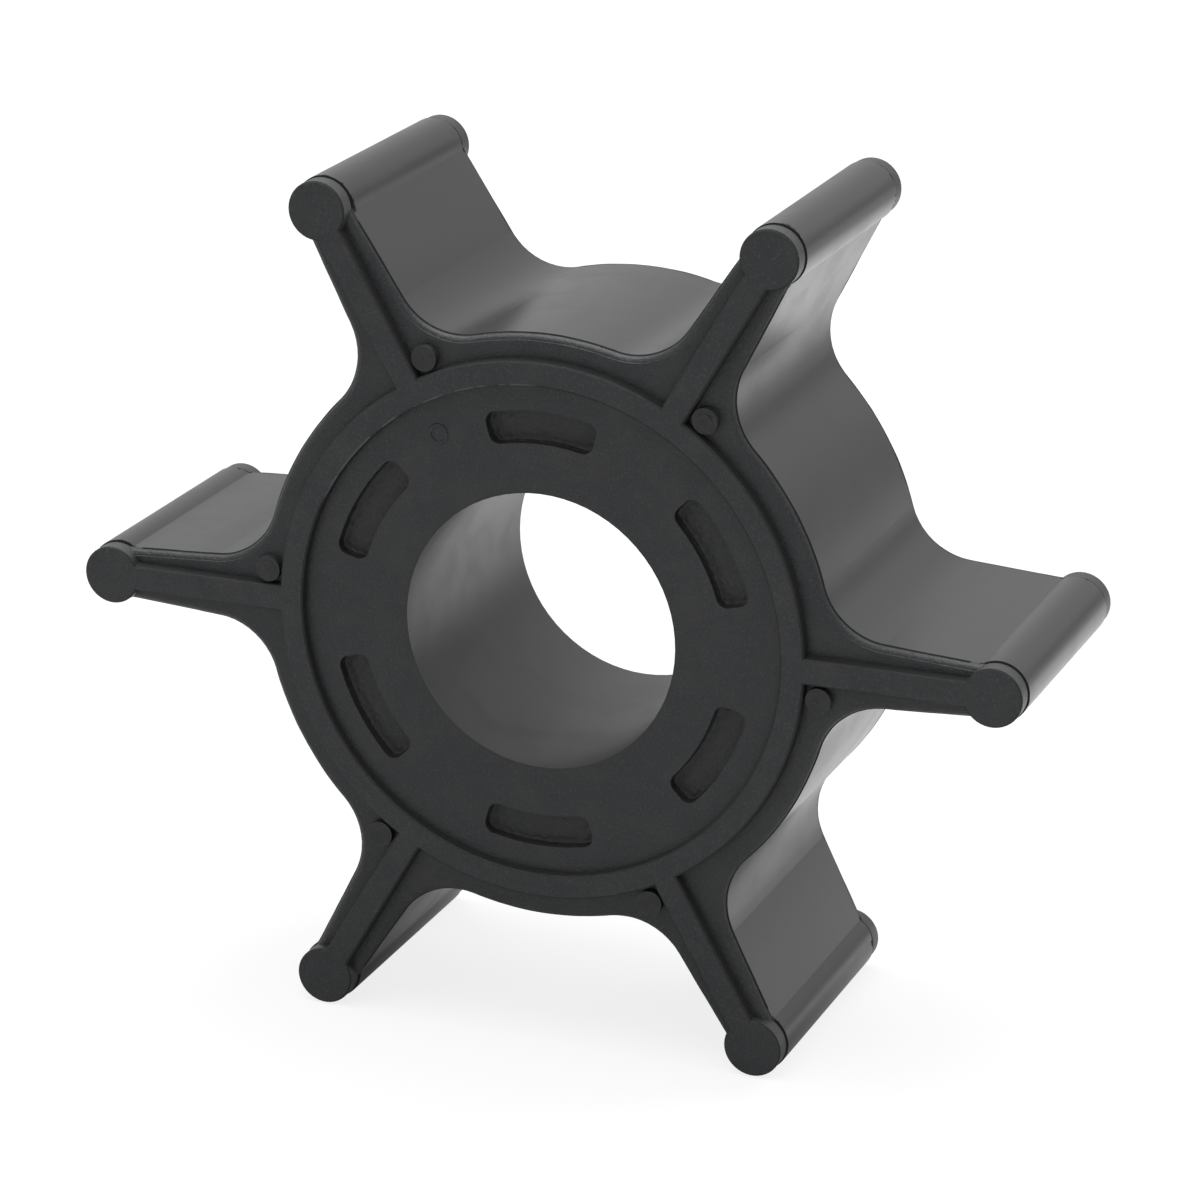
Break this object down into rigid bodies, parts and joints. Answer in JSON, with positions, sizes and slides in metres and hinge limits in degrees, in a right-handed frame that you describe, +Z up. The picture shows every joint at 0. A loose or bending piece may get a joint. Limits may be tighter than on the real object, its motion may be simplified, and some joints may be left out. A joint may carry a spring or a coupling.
{
  "type": "rubber pump impeller",
  "caption": "Moulded rubber impeller with straight radial vanes that end in round beads, a thick hub with a plain through bore and raised rings and ribs on both end faces.",
  "frame": {"origin": "middle of the bore, on its axis, halfway between the two end faces", "axes": "+Y along the bore from the front face, which has the round pads, to the back face; +Z up, with the impeller standing on its two lower vane tips; +X to the right seen from the front"},
  "size_m": [0.05, 0.0156, 0.0438],
  "materials": {
    "rubber": "satin black moulded rubber"
  },
  "bodies": {
    "root": {"impeller": "rubber"}
  },
  "joints": []
}
